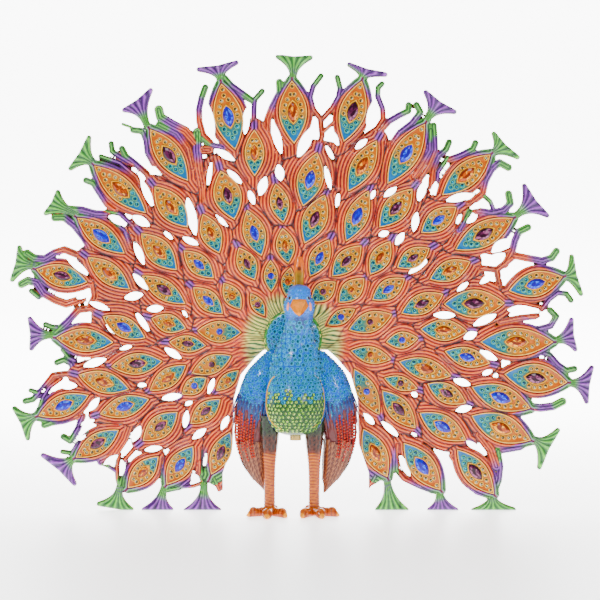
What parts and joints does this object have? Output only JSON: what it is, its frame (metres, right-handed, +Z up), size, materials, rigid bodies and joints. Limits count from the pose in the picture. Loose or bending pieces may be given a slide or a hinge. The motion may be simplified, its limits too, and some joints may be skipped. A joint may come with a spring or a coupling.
{
  "type": "peacock figurine",
  "caption": "Standing peacock figurine of enamelled cast metal with an openwork spread tail fan and inset glass stones, for display on a shelf or table.",
  "frame": {"origin": "centre of the bounding box's base, level with the soles of all feet", "axes": "+Z up, +Y from the bird's face to the fan's back, +X to the viewer's right"},
  "size_m": [0.3192, 0.0424, 0.2485],
  "materials": {
    "fan_enamel": "glossy enamel over cast ridges",
    "bird_enamel": "glossy enamel set with small stones",
    "brass": "polished",
    "sapphire_glass": "faceted",
    "amethyst_glass": "faceted",
    "topaz_glass": "faceted"
  },
  "bodies": {
    "root": {"tail_fan": "fan_enamel", "bird": "bird_enamel", "belly_stud": "brass", "centre_stone_01": "topaz_glass", "centre_stone_02": "amethyst_glass", "centre_stone_03": "sapphire_glass", "centre_stone_04": "topaz_glass", "centre_stone_05": "amethyst_glass", "centre_stone_06": "sapphire_glass", "centre_stone_07": "topaz_glass", "centre_stone_08": "amethyst_glass", "centre_stone_09": "sapphire_glass", "centre_stone_10": "topaz_glass", "centre_stone_11": "amethyst_glass", "centre_stone_12": "sapphire_glass", "centre_stone_13": "topaz_glass", "centre_stone_14": "amethyst_glass", "centre_stone_15": "sapphire_glass", "centre_stone_16": "topaz_glass", "centre_stone_17": "amethyst_glass", "centre_stone_18": "sapphire_glass", "centre_stone_19": "topaz_glass", "centre_stone_20": "amethyst_glass", "centre_stone_21": "sapphire_glass", "centre_stone_22": "sapphire_glass", "centre_stone_23": "topaz_glass", "centre_stone_24": "topaz_glass", "centre_stone_25": "topaz_glass", "centre_stone_26": "topaz_glass", "centre_stone_27": "topaz_glass", "centre_stone_28": "sapphire_glass", "centre_stone_29": "amethyst_glass", "centre_stone_30": "sapphire_glass"}
  },
  "joints": []
}
